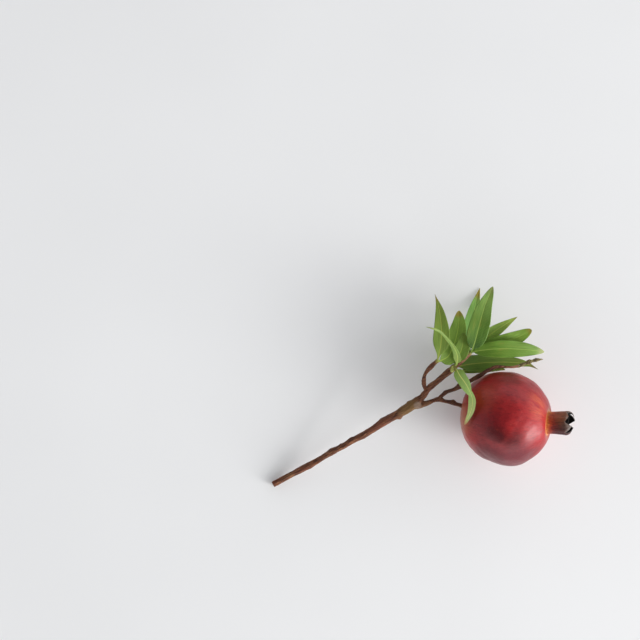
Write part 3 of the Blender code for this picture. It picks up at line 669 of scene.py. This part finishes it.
def make_leaf(name, seed):
    """One closed blade. Along the leaf the half width swells from the stalk to the widest place and
    tapers to the tip. Across it, a lens-thin section goes over the top face and back under, folded up
    from the midrib, grooved above and keeled below it, with rippled edges. The stalk is a short round
    length that curves out of the node."""
    node, midrib, half_width, widest, fullness, rolls = LEAVES[name][:6]
    rows, columns = 110, 25
    run = np.linspace(0, 1, rows) ** 0.9
    centre = through(midrib, run)
    start, away = np.array(node), centre[1] - centre[0]
    away *= 0.35 * np.linalg.norm(centre[0] - start) / np.linalg.norm(away)
    t = np.linspace(0, 1, 10, endpoint=False)[:, None]
    stalk = (1 - t) ** 2 * start + 2 * t * (1 - t) * (centre[0] - away) + t ** 2 * centre[0]
    centre = np.concatenate([stalk, centre])
    run = np.concatenate([np.zeros(len(stalk)), run])
    on_stalk = np.concatenate([np.linspace(1, 0.25, len(stalk)), 0.25 * np.exp(-np.arange(rows) / 4)])

    side, up = frames(centre)
    roll = np.radians(np.interp(run, np.linspace(0, 1, len(rolls)), rolls))[:, None]
    across_blade = (side * np.cos(roll) + up * np.sin(roll))[:, None]
    out_of_blade = (up * np.cos(roll) - side * np.sin(roll))[:, None]

    phase = np.where(run < widest, run / (2 * widest), 0.5 + (run - widest) / (2 * (1 - widest)))
    taper = np.interp(run, (0, 0.1, 1), (1.0, 0.65, 0.12))
    half = (taper + half_width * np.maximum(np.sin(np.pi * phase), 0.0) ** fullness)[:, None]
    top = np.linspace(-1, 1, columns)
    across = np.concatenate([top, top[-2:0:-1]])
    above = np.concatenate([np.ones(columns), -np.ones(columns - 2)])
    offset = across * half
    from_rib = np.abs(offset)
    thick = 0.5 * (0.16 + 0.20 * (1 - across ** 2)) + 0.42 * on_stalk[:, None] * np.sqrt(1 - across ** 2)
    fold = 0.16 * (np.sqrt(offset ** 2 + 0.5) - 0.7)
    grow = np.clip(half / 3, 0, 1)
    rib = np.exp(-((offset / (0.25 + 0.35 * (1 - run[:, None]))) ** 2))
    groove = grow * rib * np.where(above > 0, -0.16, -0.30)
    leaf_length = np.linalg.norm(np.diff(centre, axis=0), axis=1).sum()
    slant = run[:, None] * leaf_length / 3.4 - from_rib * 0.34
    veins = 0.035 * grow * np.sin(math.tau * slant) * (1 - rib)
    draw = np.random.default_rng(seed)
    phases = draw.uniform(0, math.tau, 3)
    ripple = grow * across ** 2 * (
        0.30 * np.sin(math.tau * 2.3 * run[:, None] + phases[0] + across)
        + 0.14 * np.sin(math.tau * 5.1 * run[:, None] + phases[1] - 2 * across))
    bow = 0.25 * grow * np.sin(math.tau * 1.2 * run[:, None] + phases[2]) * across
    lift = fold + groove + veins + ripple + bow + above * thick
    rows_of_points = centre[:, None] + offset[..., None] * across_blade + lift[..., None] * out_of_blade
    rows_of_points[..., 2] = np.maximum(rows_of_points[..., 2], 0.02)
    values = {"run": run[:, None] + 0 * offset, "offset": offset, "across": across + 0 * half,
              "under": 0 * offset + (above < 0), "vein": np.sin(math.tau * slant)}
    return surface(name + "_blade", rows_of_points[:, ::-1], {k: v[:, ::-1] for k, v in values.items()})


def toned(colour, gain, lift=0.0):
    """The colour times gain, one number or one for each channel, plus lift, and no channel over 1."""
    return (*np.minimum(np.array(colour[:3]) * gain + lift, 1.0).tolist(), 1.0)


def leaf_finish(name):
    """A green blade whose colour changes from foot to tip, with soft patches, lengthwise fibres, a paler
    midrib that thins out, faint side veins, a thin light edge, warm streaks and a paler underside."""
    colours, tip, tip_start = LEAVES[name][6:]
    green = Finish(name + "_green")
    run, offset = green.attribute("run"), green.attribute("offset")
    seat = green.place()
    patches = green.noise(seat, 70.0, 3.0, 0.55, 0.4)
    fibre_place = green.node("CombineXYZ", 0, {0: green.sums("MULTIPLY", run, 5.0), 1: offset})
    fibres = green.noise(fibre_place, 0.62, 5.0, 0.7)
    foot, middle, far = (srgb(*colour) for colour in colours)
    shade = green.sums("MULTIPLY_ADD", patches, 0.22, green.sums("ADD", run, -0.11))
    blade = green.ramp(shade, [(0.05, foot), (0.45, middle), (0.85, far)])
    dark = green.mix(green.fade(fibres, 0.50, 0.34, 0.0, 0.60), blade, toned(middle, 0.62))
    light = green.mix(green.fade(fibres, 0.52, 0.66, 0.0, 0.50), dark, toned(middle, 1.45, 0.01))
    on_vein = green.fade(green.attribute("vein"), 0.70, 1.0, 0.0, 0.34)
    veined = green.mix(on_vein, light, toned(far, 1.5, 0.015))
    near_rib = green.sums("ABSOLUTE", offset)
    rib_width = green.sums("MULTIPLY_ADD", run, -0.42, 0.62)
    on_rib = green.fade(green.sums("DIVIDE", near_rib, rib_width), 1.15, 0.45, 0.0, 0.72)
    yellowish = (1.9, 1.6, 1.3)
    ribbed = green.mix(on_rib, veined, toned(far, yellowish, 0.03))
    edge = green.fade(green.sums("ABSOLUTE", green.attribute("across")), 0.93, 1.0, 0.0, 0.35)
    edged = green.mix(edge, ribbed, toned(far, 1.5, 0.02))
    drying = green.sums("MULTIPLY_ADD", patches, 0.14, green.sums("ADD", run, -0.07))
    on_tip = green.fade(drying, tip_start - 0.05, tip_start + 0.06, 0.0, 0.9)
    tipped = green.mix(on_tip, edged, srgb(*tip))
    warm = green.sums("MULTIPLY", green.fade(fibres, 0.50, 0.66),
                      green.fade(patches, 0.46, 0.64, 0.0, 0.5))
    warmed = green.mix(warm, tipped, srgb(140, 128, 56))
    on_under = green.sums("MULTIPLY", green.attribute("under"), 0.45)
    under = green.mix(on_under, warmed, srgb(138, 164, 92))
    relief = green.bump(fibres, 0.22, 0.0004)
    roughness = green.sums("MULTIPLY_ADD", fibres, 0.16, 0.44)
    return green.surface(under, roughness, relief, specular_ior_level=0.22)


for number, leaf in enumerate(LEAVES):
    finished(make_leaf(leaf, 100 + number), leaf, leaf_finish(leaf))


# ---------------------------------------------------------------- table, light and camera
# A plain pale table under soft daylight: a tall window to the right, a wide dim one high above it, a dark
# ceiling and a bright room round the horizon. The camera hangs straight above and looks down.

TABLE_HALF = 3.0                                  # metres
WINDOW_AIM = (0.0, 0.0, 0.03)                     # both windows face the sprig
ROOM_LEVEL = 2.6
ROOM_PULL = (1.35, -0.75, 0.0)                    # the side of the room that is brighter, and by how much
CAMERA_PLACE = (-0.1806, 0.0954, 1.422)


def make_table():
    """A square table top, its middle under the fruit, with a faint unevenness in its pale paint."""
    half = TABLE_HALF
    mesh = bpy.data.meshes.new("table")
    mesh.from_pydata([(-half, -half, 0), (half, -half, 0), (half, half, 0), (-half, half, 0)], [],
                     [(0, 1, 2, 3)])
    table = bpy.data.objects.new("table", mesh)
    bpy.context.scene.collection.objects.link(table)
    plain = Finish("table_pale")
    grain = plain.noise(plain.place(), 3.0, 2.0)
    tone = plain.mix(plain.fade(grain, 0.3, 0.7), srgb(238, 238, 238), srgb(241, 241, 241))
    table.data.materials.append(plain.surface(tone, 0.75, plain.bump(grain, 0.02, 0.001),
                                              specular_ior_level=0.15))


def add_window(name, place, width, height, power, tint):
    """A rectangle of light that faces the sprig. Sizes are in metres and power in watts."""
    light = bpy.data.lights.new(name, "AREA")
    light.shape = "RECTANGLE"
    light.size = width
    light.size_y = height
    light.energy = power
    light.color = tint
    lamp = bpy.data.objects.new(name, light)
    bpy.context.scene.collection.objects.link(lamp)
    lamp.location = place
    lamp.rotation_euler = (Vector(WINDOW_AIM) - Vector(place)).to_track_quat("-Z", "Y").to_euler()


def set_room_light():
    """Room light by height and direction: bright round the horizon, dim overhead, and brightest on the
    window's side of the room."""
    world = bpy.data.worlds.new("room")
    bpy.context.scene.world = world
    world.use_nodes = True
    tree = world.node_tree
    direction = tree.nodes.new("ShaderNodeTexCoord")
    height = tree.nodes.new("ShaderNodeSeparateXYZ")
    band = tree.nodes.new("ShaderNodeValToRGB")
    tree.links.new(direction.outputs["Generated"], height.inputs[0])
    tree.links.new(height.outputs["Z"], band.inputs[0])
    tree.links.new(band.outputs[0], tree.nodes["Background"].inputs["Color"])
    toward = tree.nodes.new("ShaderNodeVectorMath")
    toward.operation = "DOT_PRODUCT"
    toward.inputs[1].default_value = ROOM_PULL
    tree.links.new(direction.outputs["Generated"], toward.inputs[0])
    level = tree.nodes.new("ShaderNodeMath")
    level.operation = "ADD"
    level.inputs[1].default_value = ROOM_LEVEL
    tree.links.new(toward.outputs["Value"], level.inputs[0])
    tree.links.new(level.outputs[0], tree.nodes["Background"].inputs["Strength"])
    stops = band.color_ramp.elements
    stops[0].position, stops[0].color = 0.0, (0.72, 0.73, 0.75, 1)
    stops[1].position, stops[1].color = 0.80, (0.06, 0.06, 0.06, 1)
    middle = stops.new(0.30)
    middle.color = (0.60, 0.61, 0.63, 1)


make_table()
set_room_light()
add_window("tall_window", (4.3, -2.15, 1.66), 2.1, 2.3, 185.0, (1.0, 0.995, 0.985))
add_window("high_window", (2.0, -1.1, 2.75), 3.2, 2.4, 25.0, (1.0, 1.0, 0.99))

eye = bpy.data.cameras.new("camera")
eye.lens = 80
eye.sensor_width = 36
camera = bpy.data.objects.new("camera", eye)
camera.location = CAMERA_PLACE
bpy.context.scene.collection.objects.link(camera)
bpy.context.scene.camera = camera
bpy.context.scene.view_settings.view_transform = "Standard"
